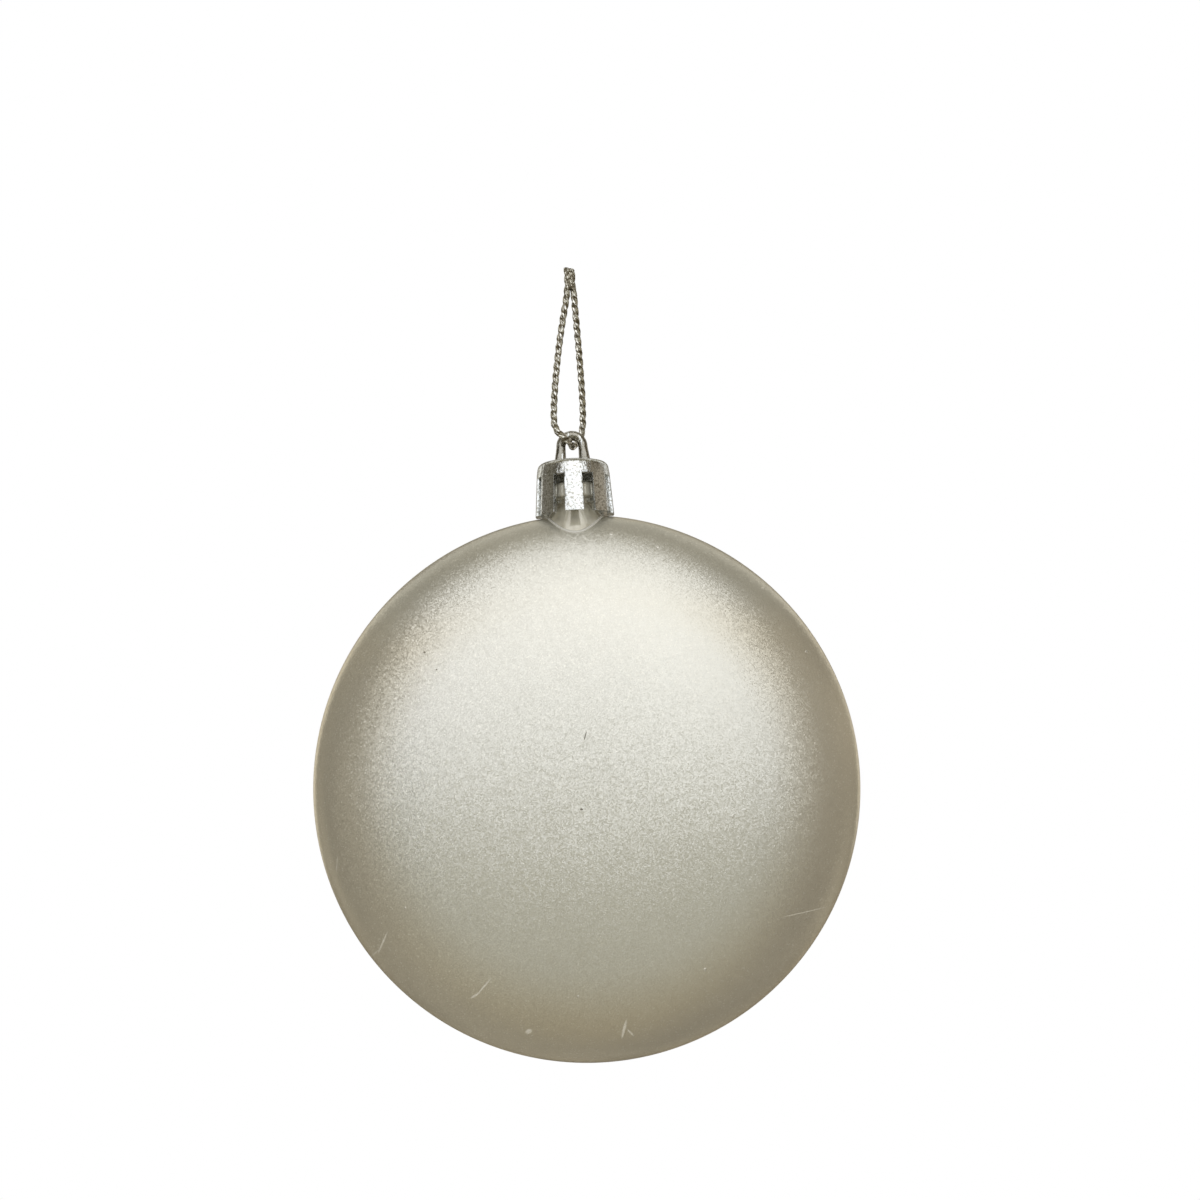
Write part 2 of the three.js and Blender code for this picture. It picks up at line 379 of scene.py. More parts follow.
def with_seam_lip(outline):
    """The rim rolls out to a low lip where the two shells are welded."""
    lipped = []
    for across, depth in outline:
        near = max(0.0, 1 - depth / SEAM_LIP_WIDTH)
        lipped.append((across + SEAM_LIP * near * near * (3 - 2 * near), depth))
    return lipped


def surface_height(across, depth, radius=DISC_RADIUS, half_thickness=DISC_HALF_THICKNESS):
    """How high the disc's skin is above a point of its footprint, near the top."""
    share = max(0.0, 1 - (depth / half_thickness) ** 2)
    rim = radius * share ** (1 / FACE_FULLNESS)
    return DISC_CENTRE + math.sqrt(max(0.0, rim * rim - across * across))


def half_shell(name, side):
    """A hollow half of the disc. Side is -1 for the front and 1 for the back."""
    outside = with_seam_lip(face_outline(DISC_RADIUS, DISC_HALF_THICKNESS, FACE_STEPS))
    inside = face_outline(DISC_RADIUS - DISC_WALL, DISC_HALF_THICKNESS - DISC_WALL, INSIDE_STEPS)
    outline = outside + inside[::-1]
    points = [(across, side * depth, DISC_CENTRE) for across, depth in outline]
    shell = spun(name, points, (0, 0, DISC_CENTRE), (0, 1, 0), DISC_TURN_STEPS, closed=False)
    start()
    bpy.ops.mesh.primitive_cylinder_add(
        vertices=96,
        radius=FOOT_RADIUS + OPENING_GAP,
        depth=DISC_RADIUS,
        location=(0, 0, DISC_CENTRE + DISC_RADIUS),
    )
    combine(shell, named("opening"), "DIFFERENCE")
    smooth(shell)
    return shell


def neck():
    """Collar, groove and spreading foot, with an open bore and a flange inside the shells.

    The foot comes down steeper at the front and back, where the shells fall away."""
    groove_top = COLLAR_TOP - COLLAR_HEIGHT
    groove_bottom = groove_top - GROOVE_HEIGHT
    flange_top = FLANGE_BOTTOM + FLANGE_THICKNESS
    edge = COLLAR_EDGE_ROUND
    flare = []
    for i in range(FOOT_STEPS + 1):
        fall = i / FOOT_STEPS
        radius = GROOVE_RADIUS + (FOOT_RADIUS - GROOVE_RADIUS) * min(1, fall * 1.3)
        flare.append((radius, groove_bottom - (groove_bottom - flange_top) * fall))
    outline = [
        (BORE_RADIUS, FLANGE_BOTTOM),
        (FLANGE_RADIUS, FLANGE_BOTTOM),
        (FLANGE_RADIUS, flange_top),
        *flare[::-1],
        *arc(GROOVE_RADIUS + GROOVE_ROUND, groove_top - GROOVE_ROUND, GROOVE_ROUND, 180, 90, 3),
        *arc(COLLAR_RADIUS - edge, groove_top + edge, edge, -90, 0, 4),
        *arc(COLLAR_RADIUS - COLLAR_ROUND, COLLAR_TOP - COLLAR_ROUND, COLLAR_ROUND, 0, 90, 10),
        *arc(BORE_RADIUS + BORE_ROUND, COLLAR_TOP - BORE_ROUND, BORE_ROUND, 90, 180, 4),
    ]
    points = [(0, -across, up) for across, up in outline]
    piece = spun("neck_moulding", points, (0, 0, 0), (0, 0, 1), NECK_TURN_STEPS)
    for vertex in piece.data.vertices:
        co = vertex.co
        radius = math.hypot(co.x, co.y)
        if radius > GROOVE_RADIUS + 0.001 and flange_top - 0.001 < co.z < groove_bottom + 0.001:
            direction = Vector((co.x, co.y, 0)) / radius
            seat = surface_height(direction.x * FOOT_RADIUS, direction.y * FOOT_RADIUS)
            fall = min(1.0, (groove_bottom - co.z) / (groove_bottom - seat))
            spread = GROOVE_RADIUS + (FOOT_RADIUS - GROOVE_RADIUS) * fall**FOOT_CURVE
            co.x, co.y = direction.x * spread, direction.y * spread
    smooth(piece)
    return piece


def neck_fillet():
    """The glossy bead where the foot meets the two shells. It follows the disc's skin."""
    ring = FOOT_RADIUS + FILLET_OFFSET
    start()
    bpy.ops.mesh.primitive_torus_add(
        major_radius=ring,
        minor_radius=FILLET_RADIUS,
        major_segments=160,
        minor_segments=16,
    )
    piece = named("neck_fillet")
    for vertex in piece.data.vertices:
        angle = math.atan2(vertex.co.y, vertex.co.x)
        seat = surface_height(ring * math.cos(angle), ring * math.sin(angle))
        vertex.co.z += seat - FILLET_OFFSET
    smooth(piece, 80)
    return piece


# ---------------------------------------------------------------- cap


def cap_rows():
    """The cap's wall from the finger ends to the middle of the crown.

    Each row is (outside radius, outside height, inside radius, inside height)."""
    slot_top = FINGER_END + FINGER_LENGTH
    shoulder = slot_top + SLOT_ABOVE
    top_radius = CAP_BOTTOM_RADIUS - CAP_FLARE
    crown_edge = top_radius - CAP_SHOULDER_ROUND
    underside = shoulder + CROWN_RISE - CROWN_THICKNESS
    bead_top = COLLAR_TOP - COLLAR_HEIGHT - BEAD_GAP
    bead_bottom = bead_top - BEAD_HEIGHT
    bead_radius = COLLAR_RADIUS - BEAD_BITE

    def outside(height):
        return top_radius + CAP_FLARE * (shoulder - height) / (shoulder - FINGER_END)

    def plain(height):
        return outside(height), height, outside(height) - CAP_WALL, height

    def beaded(height, radius):
        return outside(height), height, radius, height

    rows = [plain(FINGER_END + up) for up in (0, 0.12, 0.5, 0.9, 1.2)]
    rows.append(plain(bead_bottom))
    rows.append(beaded(bead_bottom + BEAD_HEIGHT / 3, bead_radius + 0.1))
    rows.append(beaded(bead_bottom + BEAD_HEIGHT / 2, bead_radius))
    rows.append(beaded(bead_top - 0.06, bead_radius))
    rows.append(beaded(bead_top, bead_radius + 0.06))
    rows.append(plain(bead_top + 0.02))
    straight = slot_top - bead_top
    rows += [plain(bead_top + straight * share) for share in (0.15, 0.35, 0.55, 0.75, 0.92, 1)]
    slot_row = len(rows) - 1
    band = shoulder - CAP_SHOULDER_ROUND - slot_top
    rows += [plain(slot_top + band * share) for share in (0.12, 0.5)]
    inner_edge = outside(underside) - CAP_WALL
    outer_bend = arc(crown_edge, shoulder - CAP_SHOULDER_ROUND, CAP_SHOULDER_ROUND, 0, 90, 8)
    inner_bend = arc(inner_edge - CAP_INNER_ROUND, underside - CAP_INNER_ROUND, CAP_INNER_ROUND, 0, 90, 8)
    rows += [(*out, *within) for out, within in zip(outer_bend, inner_bend)]
    crown_steps = 7
    for i in range(1, crown_steps + 1):
        share = 1 - i / crown_steps
        up = shoulder + CROWN_RISE * (1 - share * share)
        rows.append((crown_edge * share, up, (inner_edge - CAP_INNER_ROUND) * share, underside))
    return rows, slot_row


def cap_wall():
    """The whole wall as one sheet: slots cut, given its thickness, bent round and closed."""
    rows, slot_row = cap_rows()
    columns_per_finger = 11
    columns_per_slot = 7
    pitch = columns_per_finger + columns_per_slot
    columns = pitch * FINGER_COUNT
    top = len(rows) - 1
    start()
    bpy.ops.mesh.primitive_grid_add(x_subdivisions=columns, y_subdivisions=top, size=1)
    piece = named("hanger_cap_moulding")

    def column_of(co):
        return (co.x + 0.5) * columns

    def row_of(co):
        return (co.y + 0.5) * top

    pick(
        piece,
        "FACE",
        lambda co: column_of(co) % pitch > columns_per_finger and row_of(co) < slot_row,
    )
    bpy.ops.mesh.delete(type="FACE")
    bpy.ops.mesh.select_all(action="SELECT")
    bpy.ops.mesh.extrude_region_move(TRANSFORM_OT_translate={"value": (0, 0, 1)})
    end = 0.5 - 1e-4
    pick(piece, "FACE", lambda co: co.y > end or (abs(co.x) > end and row_of(co) > slot_row))
    bpy.ops.mesh.delete(type="FACE")
    bpy.ops.object.mode_set(mode="OBJECT")
    first = math.radians(-90) - TURN * columns_per_finger / 2 / columns
    for vertex in piece.data.vertices:
        row = rows[round(row_of(vertex.co))]
        angle = first + TURN * column_of(vertex.co) / columns
        across, up = row[2:] if vertex.co.z > 0.5 else row[:2]
        vertex.co = (across * math.cos(angle), across * math.sin(angle), up)
    tidy(piece)
    bpy.ops.object.mode_set(mode="EDIT")
    bpy.ops.mesh.select_mode(type="EDGE")
    bpy.ops.mesh.select_all(action="DESELECT")
    bpy.ops.mesh.edges_select_sharp(sharpness=math.radians(55))
    bpy.ops.mesh.bevel(offset=CAP_EDGE_BEVEL, segments=3, affect="EDGES", clamp_overlap=True)
    bpy.ops.object.mode_set(mode="OBJECT")
    return piece


def eye_arch():
    """The eye: a rounded bar bent over, its feet spread and sunk in the crown."""
    outer = EYE_HOLE_RADIUS + EYE_THICKNESS
    centre = EYE_TOP - outer
    foot = centre - EYE_CENTRE_HEIGHT - EYE_SINK
    leg = []
    for i in range(LEG_STEPS):
        share = 1 - i / LEG_STEPS
        leg.append((outer + EYE_SPREAD * share**LEG_CURVE, foot + (centre - foot) * (1 - share)))
    outline = [
        (EYE_HOLE_RADIUS, foot),
        *leg,
        *arc(0, centre, outer, 0, 180, 36),
        *[(-across, up) for across, up in leg[::-1]],
        (-EYE_HOLE_RADIUS, foot),
        *arc(0, centre, EYE_HOLE_RADIUS, 180, 0, 28),
    ]
    piece = chain("eye_arch", [(across, -EYE_DEPTH / 2, up) for across, up in outline])
    only(piece)
    bpy.ops.object.mode_set(mode="EDIT")
    bpy.ops.mesh.select_all(action="SELECT")
    bpy.ops.mesh.edge_face_add()
    bpy.ops.mesh.extrude_region_move(TRANSFORM_OT_translate={"value": (0, EYE_DEPTH, 0)})
    bpy.ops.object.mode_set(mode="OBJECT")
    tidy(piece)
    side = EYE_DEPTH / 2 - 1e-3

    def on_outline(a, b):
        above_foot = max(a.z, b.z) > foot + 1e-3
        return above_foot and (min(a.y, b.y) > side or max(a.y, b.y) < -side)

    pick(piece, "EDGE", on_outline)
    bpy.ops.mesh.bevel(offset=EYE_ROUND, segments=9, affect="EDGES")
    bpy.ops.object.mode_set(mode="OBJECT")
    return piece


def hanger_cap():
    piece = cap_wall()
    combine(piece, eye_arch(), "UNION")
    tidy(piece, 1e-3)
    smooth(piece, 40)
    return piece


# ---------------------------------------------------------------- cord


def between(a, b, c, d, share):
    """A point from b to c on the smooth curve through four points, spaced by their distances."""
    knots = [0.0]
    for here, there in ((a, b), (b, c), (c, d)):
        knots.append(knots[-1] + math.sqrt((there - here).length))
    k0, k1, k2, k3 = knots
    k = k1 + (k2 - k1) * share
    ab = a.lerp(b, (k - k0) / (k1 - k0))
    bc = b.lerp(c, (k - k1) / (k2 - k1))
    cd = c.lerp(d, (k - k2) / (k3 - k2))
    abc = ab.lerp(bc, (k - k0) / (k2 - k0))
    bcd = bc.lerp(cd, (k - k1) / (k3 - k1))
    return abc.lerp(bcd, (k - k1) / (k2 - k1))


def along(route, spacing):
    """Evenly spaced points on the smooth curve through a route."""
    points = [Vector(p) for p in route]
    ends = [2 * points[0] - points[1], *points, 2 * points[-1] - points[-2]]
    fine = []
    for i in range(1, len(ends) - 2):
        for j in range(40):
            fine.append(between(*ends[i - 1 : i + 3], j / 40))
    fine.append(points[-1])
    lengths = [0.0]
    for here, there in zip(fine, fine[1:]):
        lengths.append(lengths[-1] + (there - here).length)
    count = round(lengths[-1] / spacing)
    even = []
    at = 0
    for i in range(count + 1):
        want = lengths[-1] * i / count
        while at < len(fine) - 2 and lengths[at + 1] < want:
            at += 1
        share = (want - lengths[at]) / (lengths[at + 1] - lengths[at])
        even.append(fine[at].lerp(fine[at + 1], share))
    return even, lengths[-1]


def carried_frames(points):
    """A tangent and two sideways directions at each point, without any needless twist."""
    frames = []
    side = Vector((1, 0, 0))
    for i, point in enumerate(points):
        ahead = points[min(i + 1, len(points) - 1)] - points[max(i - 1, 0)]
        tangent = ahead.normalized()
        side = (side - tangent * side.dot(tangent)).normalized()
        frames.append((tangent, side, tangent.cross(side)))
    return frames


def plies(name, points, spacing, reach, ply_radius, phase=0.0):
    """Twisted plies round a middle line, each one a bundle of fine metallic threads."""
    sides = PLY_SIDES
    rings = len(points)
    frames = carried_frames(points)
    vertices = []
    faces = []
    for ply in range(PLY_COUNT):
        first = len(vertices)
        for i, point in enumerate(points):
            tangent, side, across = frames[i]
            run = i * spacing
            angle = phase + TURN * (ply / PLY_COUNT - run / CORD_LAY)
            out = side * math.cos(angle) + across * math.sin(angle)
            around = tangent.cross(out)
            centre = point + out * reach
            for j in range(sides):
                turn = TURN * j / sides
                thread = THREAD_COUNT * (turn + TURN * run / THREAD_LAY / THREAD_COUNT)
                radius = ply_radius * (1 + THREAD_RELIEF * (abs(math.cos(thread / 2)) - 0.6))
                vertices.append(centre + (out * math.cos(turn) + around * math.sin(turn)) * radius)
        for i in range(rings - 1):
            for j in range(sides):
                a = first + i * sides + j
                b = first + i * sides + (j + 1) % sides
                faces.append((a, b, b + sides, a + sides))
        faces.append([first + j for j in range(sides)][::-1])
        faces.append([first + (rings - 1) * sides + j for j in range(sides)])
    mesh = bpy.data.meshes.new(name)
    mesh.from_pydata(vertices, [], faces)
    unroll = mesh.uv_layers.new(name="unrolled")
    for face in mesh.polygons:
        if face.loop_total > 4:
            continue
        across = [mesh.loops[i].vertex_index % sides for i in face.loop_indices]
        wraps = max(across) - min(across) > 1
        for i, column in zip(face.loop_indices, across):
            ring = mesh.loops[i].vertex_index // sides
            turn = column + (sides if wraps and column == 0 else 0)
            unroll.data[i].uv = (turn / sides + ring // rings / PLY_COUNT, ring % rings * spacing)
    piece = bpy.data.objects.new(name, mesh)
    bpy.context.scene.collection.objects.link(piece)
    return piece


def cord():
    """The free loop, from one end at the fused end down through the eye and back up."""
    points, length = along(CORD_ROUTE, CORD_SPACING)
    piece = plies("cord", points, length / (len(points) - 1), PLY_REACH, PLY_RADIUS)
    smooth(piece, 80)
    return piece, points, length


def fused_end():
    """Both cord ends run up side by side and are melted together and cut off aslant."""
    left, right = Vector(CORD_ROUTE[0]), Vector(CORD_ROUTE[-1])
    middle = (left + right) / 2
    core_foot = 1.0
    slant = 0.26
    parts = []
    for end, phase in ((left, 0.4), (right, 2.1)):
        lean_in = middle.lerp(end, 0.68)
        route = [
            end + Vector((0, 0, -0.35)),
            end + Vector((0, 0, 0.2)),
            Vector((lean_in.x, lean_in.y * 0.5, 1.3)),
            Vector((lean_in.x, 0, 2.6)),
            Vector((lean_in.x, 0, FUSED_TOP + 0.1)),
        ]
        points, length = along(route, 0.06)
        parts.append(plies("strand", points, length / (len(points) - 1), 0.24, 0.25, phase))
    start()
    bpy.ops.mesh.primitive_cube_add(size=1, location=(middle.x, 0, (core_foot + FUSED_TOP) / 2))
    core = named("core")
    core.scale = (CORD_DIAMETER, 0.5, FUSED_TOP - core_foot)
    bpy.ops.object.transform_apply(location=True, rotation=True, scale=True)
    start()
    bpy.ops.mesh.primitive_uv_sphere_add(segments=32, ring_count=16, radius=0.5)
    melt = named("melt")
    melt.scale = (1.5, 0.86, 0.75)
    melt.rotation_euler = (0, math.radians(14), 0)
    melt.location = (middle.x, 0, FUSED_TOP - 0.55)
    bpy.ops.object.transform_apply(location=True, rotation=True, scale=True)
    start()
    for part in (*parts, core, melt):
        part.select_set(True)
    bpy.context.view_layer.objects.active = parts[0]
    bpy.ops.object.join()
    piece = named("cord_fused_end")
    use(piece, "REMESH", mode="VOXEL", voxel_size=0.045)
    use(piece, "SMOOTH", factor=0.4, iterations=2)
    bpy.ops.object.mode_set(mode="EDIT")
    bpy.ops.mesh.select_all(action="SELECT")
    bpy.ops.mesh.bisect(
        plane_co=(middle.x, 0, FUSED_TOP - 0.24),
        plane_no=(slant, 0, 1),
        use_fill=True,
        clear_outer=True,
    )
    bpy.ops.object.mode_set(mode="OBJECT")
    tidy(piece, 1e-3)
    smooth(piece, 60)
    return piece


# ---------------------------------------------------------------- finishes


class Value:
    """A socket's value, which varies over a surface. Arithmetic on it adds Math nodes."""

    def __init__(self, finish, socket):
        self.finish = finish
        self.socket = socket

    def maths(self, operation, first, second):
        """A Math node. Where no first value is given, it is this one."""
        first = self if first is None else first
        return self.finish.node("ShaderNodeMath", {"operation": operation}, {0: first, 1: second})

    def __add__(self, other):
        return self.maths("ADD", self, other)

    def __radd__(self, other):
        return self.maths("ADD", other, self)

    def __sub__(self, other):
        return self.maths("SUBTRACT", self, other)

    def __rsub__(self, other):
        return self.maths("SUBTRACT", other, self)

    def __mul__(self, other):
        return self.maths("MULTIPLY", self, other)

    def __rmul__(self, other):
        return self.maths("MULTIPLY", other, self)

    def over(self, edge):
        return self.maths("GREATER_THAN", self, edge)


class Finish:
    """One node tree, for a material or for the world."""

    def __init__(self, tree):
        self.tree = tree
        tree.nodes.clear()

    def node(self, kind, settings=None, inputs=None, output=0):
        """Adds a node, with its settings and its sockets' values or links."""
        made = self.tree.nodes.new(kind)
        for key, value in (settings or {}).items():
            setattr(made, key, value)
        for key, value in (inputs or {}).items():
            socket = made.inputs[key]
            if isinstance(value, Value):
                self.tree.links.new(value.socket, socket)
            else:
                socket.default_value = value
        return Value(self, made.outputs[output]) if made.outputs else None

    def place(self):
        return self.node("ShaderNodeTexCoord", output="Object")

    def stretched(self, place, scale, turn=(0, 0, 0)):
        return self.node("ShaderNodeMapping", {}, {"Vector": place, "Rotation": turn, "Scale": scale})

    def noise(self, place, size, detail=2.0, roughness=0.5):
        """Cloudy noise whose lumps are about a given size in metres."""
        inputs = {"Vector": place, "Scale": 1 / size, "Detail": detail, "Roughness": roughness}
        return self.node("ShaderNodeTexNoise", {}, inputs, "Fac")

    def grains(self, place, size, output="Distance"):
        inputs = {"Vector": place, "Scale": 1 / size}
        return self.node("ShaderNodeTexVoronoi", {}, inputs, output)

    def red_of(self, colour):
        return self.node("ShaderNodeSeparateColor", {}, {"Color": colour}, "Red")

    def part_of(self, vector, axis):
        """One coordinate of a vector, by its letter."""
        return self.node("ShaderNodeSeparateXYZ", {}, {"Vector": vector}, axis)

    def step(self, value, low, high):
        """0 below low, 1 above high, and smooth between."""
        settings = {"interpolation_type": "SMOOTHSTEP"}
        return self.node("ShaderNodeMapRange", settings, {"Value": value, 1: low, 2: high})

    def mark(self, place, across, up, angle, length, width):
        """1 on a short mark on the front face and 0 elsewhere. Sizes are in millimetres."""
        settings = {"vector_type": "TEXTURE"}
        inputs = {
            "Vector": place,
            "Location": (across * MM, 0, (DISC_CENTRE + up) * MM),
            "Rotation": (0, -math.radians(angle), 0),
            "Scale": (length * MM / 2, 1, width * MM / 2),
        }
        local = self.node("ShaderNodeMapping", settings, inputs)
        u = self.part_of(local, "X")
        v = self.part_of(local, "Z")
        away = (u * u + v * v).maths("SQRT", None, 0)
        on_front = self.part_of(place, "Y").maths("LESS_THAN", None, 0)
        return self.step(away, 1.0, 0.5) * on_front

    def all_marks(self, place, table):
        """Every mark of a table, added up."""
        first, *others = [self.mark(place, *row) for row in table]
        return sum(others, first)

    def tilted(self, colour, amount):
        """The surface normal, tipped a little one way or another by a random colour."""
        centred = self.node(
            "ShaderNodeVectorMath", {"operation": "SUBTRACT"}, {0: colour, 1: (0.5, 0.5, 0.5)}
        )
        scaled = self.node(
            "ShaderNodeVectorMath", {"operation": "SCALE"}, {0: centred, "Scale": amount}
        )
        straight = self.node("ShaderNodeNewGeometry", output="Normal")
        added = self.node("ShaderNodeVectorMath", {"operation": "ADD"}, {0: straight, 1: scaled})
        return self.node("ShaderNodeVectorMath", {"operation": "NORMALIZE"}, {0: added})

    def mixed(self, share, first, second):
        settings = {"data_type": "RGBA"}
        return self.node("ShaderNodeMix", settings, {0: share, 6: first, 7: second}, 2)

    def multiplied(self, share, first, second):
        settings = {"data_type": "RGBA", "blend_type": "MULTIPLY"}
        return self.node("ShaderNodeMix", settings, {0: share, 6: first, 7: second}, 2)

    def bump(self, height, distance, strength=1.0, normal=None):
        inputs = {"Height": height, "Distance": distance, "Strength": strength}
        if normal:
            inputs["Normal"] = normal
        return self.node("ShaderNodeBump", {}, inputs)

    def surface(self, inputs):
        shader = self.node("ShaderNodeBsdfPrincipled", {}, inputs)
        self.node("ShaderNodeOutputMaterial", {}, {"Surface": shader})


def new_finish(name):
    material = bpy.data.materials.new(name)
    material.use_nodes = True
    return material, Finish(material.node_tree)


def pearl_paint():
    """Champagne pearl paint, satin, with a fine sparkle, a few specks and faint scratches.

    The coat is painted darker and warmer round the rim, as painted shade and a painted warm reflection,
    and darker along the top of it, near the neck, as painted shade."""
    material, f = new_finish("pearl_paint")
    place = f.place()
    flake_size = 0.17 * MM
    speck_spacing = 5.2 * MM
    radius = DISC_RADIUS * MM
    flake_colour = f.grains(place, flake_size, "Color")
    flake = f.red_of(flake_colour)
    dust = f.noise(place, 0.16 * MM, 1.0)
    drift = f.noise(place, 16 * MM, 3.0)
    mottle = f.noise(place, 1.1 * MM, 2.0)
    bright_flakes = flake.over(0.955)
    speck_cell = f.red_of(f.grains(place, speck_spacing, "Color"))
    pale_specks = speck_cell.over(0.93) * f.step(f.grains(place, speck_spacing), 0.05, 0.03)
    across_disc = f.part_of(place, "X")
    up_disc = f.part_of(place, "Z") - DISC_CENTRE * MM
    from_middle = (across_disc * across_disc + up_disc * up_disc).maths("SQRT", None, 0)
    # Painted shade: masks for the rim, painted darker and warmer as a painted warm reflection, and for
    # the top rim near the neck, painted darker
    below_brow = f.step(up_disc, 0.74 * radius, 0.5 * radius)
    rim = f.step(from_middle, 0.62 * radius, 0.87 * radius) * below_brow
    brow_painted_shade = f.step(from_middle, 0.84 * radius, 0.94 * radius) * (1 - below_brow)
    marks = f.all_marks(place, SCRATCHES)
    pits = f.all_marks(place, PITS)
    pale = pale_specks + f.all_marks(place, PIMPLES)
    tone = flake * 0.25 + dust * 0.3 + mottle * 0.25 + drift * 0.2
    paint = f.mixed(f.step(tone, 0.3, 0.7), (0.765, 0.755, 0.7, 1), (0.835, 0.828, 0.775, 1))
    # Painted shade and painted warm reflection round the rim, then painted shade along the top rim near
    # the neck
    paint = f.multiplied(rim, paint, (0.93, 0.88, 0.79, 1))
    paint = f.multiplied(brow_painted_shade, paint, (0.86, 0.85, 0.82, 1))
    paint = f.mixed(bright_flakes * 0.4, paint, (0.97, 0.95, 0.87, 1))
    paint = f.mixed(marks * 0.55 * f.noise(place, 0.7 * MM, 2.0), paint, (0.95, 0.93, 0.87, 1))
    paint = f.mixed(pale * 0.6, paint, (0.97, 0.95, 0.9, 1))
    paint = f.mixed(pits * 0.85, paint, (0.13, 0.11, 0.08, 1))
    tilted = f.tilted(flake_colour, 0.15)
    grain = f.bump(dust, 0.02 * MM, 0.8, tilted)
    relief = f.bump(pale - pits + mottle * 0.1 + marks * 0.12, 0.04 * MM, 1.0, grain)
    f.surface(
        {
            "Base Color": paint,
            "Metallic": 0.62 - 0.45 * marks,
            "Roughness": 0.3 + 0.04 * dust + 0.12 * marks,
            "Specular IOR Level": 0.5,
            "Specular Tint": (1.0, 0.9, 0.72, 1),
            "Normal": relief,
        }
    )
    return material


def glossy_plastic():
    """Bare glossy plastic under the cap, where no paint reaches."""
    material, f = new_finish("glossy_plastic")
    place = f.place()
    cloud = f.noise(place, 2.8 * MM, 3.0)
    fine = f.noise(place, 0.4 * MM, 2.0)
    tone = f.mixed(f.step(cloud, 0.3, 0.7), (0.62, 0.585, 0.48, 1), (0.84, 0.81, 0.71, 1))
    relief = f.bump(cloud * 0.8 + fine * 0.2, 0.1 * MM, 0.6)
    f.surface(
        {
            "Base Color": tone,
            "Metallic": 0.2,
            "Roughness": 0.1 + 0.08 * fine,
            "Normal": relief,
            "Coat Weight": 1.0,
            "Coat Roughness": 0.04,
        }
    )
    return material


def painted_highlight_bead():
    """The glossy bead round the foot, painted pale as a painted highlight line."""
    material, f = new_finish("painted_highlight_bead")
    cloud = f.noise(f.place(), 0.9 * MM, 2.0)
    # Painted highlight: the pale tone makes the bright line round the foot
    tone = f.mixed(cloud, (0.72, 0.7, 0.64, 1), (0.93, 0.92, 0.88, 1))
    f.surface(
        {
            "Base Color": tone,
            "Metallic": 0.0,
            "Roughness": 0.16 + 0.1 * cloud,
            "Coat Weight": 1.0,
            "Coat Roughness": 0.05,
            "Normal": f.bump(cloud, 0.05 * MM, 0.4),
        }
    )
    return material


def silvered_plastic():
    """Mirror silvering over moulded plastic: wavy and pitted, with painted shade in streaks on the eye.
    """
    material, f = new_finish("silvered_plastic")
    place = f.place()
    height = f.part_of(place, "Z")
    wave = f.noise(place, 1.6 * MM, 2.0)
    ripple = f.noise(f.stretched(place, (1, 1, 0.22)), 0.5 * MM, 2.0)
    crinkle = f.noise(place, 0.32 * MM, 3.0, 0.6)
    streak = f.noise(f.stretched(place, (1, 0.6, 0.3)), 0.7 * MM, 1.0)
    worn = f.step(crinkle, 0.5, 0.64)
    crown = (EYE_TOP - EYE_HOLE_RADIUS - EYE_THICKNESS - EYE_CENTRE_HEIGHT + CROWN_RISE) * MM
    on_eye = f.step(height, crown, crown + 0.3 * MM)
    # Painted shade: the eye is darkened in streaks, standing in for its dark reflections
    eye_painted_shade = on_eye * f.step(streak, 0.6, 0.5) * 0.85
    tone = f.mixed(worn * 0.75 + wave * 0.25, (0.83, 0.85, 0.86, 1), (0.4, 0.385, 0.33, 1))
    # The dark colour of the painted shade on the eye
    tone = f.mixed(eye_painted_shade, tone, (0.27, 0.25, 0.2, 1))
    relief = f.bump(wave * 0.4 + ripple * 0.35 + crinkle * 0.25, 0.22 * MM, 0.95)
    f.surface(
        {
            "Base Color": tone,
            "Metallic": 1.0,
            "Roughness": 0.05 + 0.16 * worn + 0.04 * wave,
            "Normal": relief,
        }
    )
    return material


def metallic_thread():
    """Silver film wound round a brown core, laid at the pitch of the glints, so each ply has its own film
    and core colour and also painted highlights and painted shade along its length.
    """
    material, f = new_finish("metallic_thread")
    place = f.place()
    unrolled = f.node("ShaderNodeTexCoord", output="UV")
    around = f.part_of(unrolled, "X")
    along_cord = f.part_of(unrolled, "Y")
    lump = f.noise(place, 0.6 * MM, 2.0)
    fibre = f.noise(place, 0.13 * MM, 2.0)
    # The film repeats at the glints' spacing: partly the thread's own film and core, partly painted
    # highlights and painted shade
    film_winding_and_glints = (around + along_cord * (1 / FILM_AND_GLINT_PITCH) + lump * 0.6).maths("PINGPONG", None, 0.5)
    film = f.step(film_winding_and_glints + fibre * 0.2, 0.24, 0.33)
    dark = f.mixed(fibre, (0.1, 0.078, 0.042, 1), (0.34, 0.3, 0.215, 1))
    bright = f.mixed(fibre, (0.66, 0.64, 0.58, 1), (1.0, 0.99, 0.95, 1))
    relief = f.bump(fibre * 0.35 + lump * 0.4 + film * 0.25, 0.04 * MM, 0.8)
    f.surface(
        {
            "Base Color": f.mixed(film, dark, bright),
            "Metallic": 0.95,
            "Roughness": 0.4 - 0.27 * film,
            "Normal": relief,
        }
    )
    return material


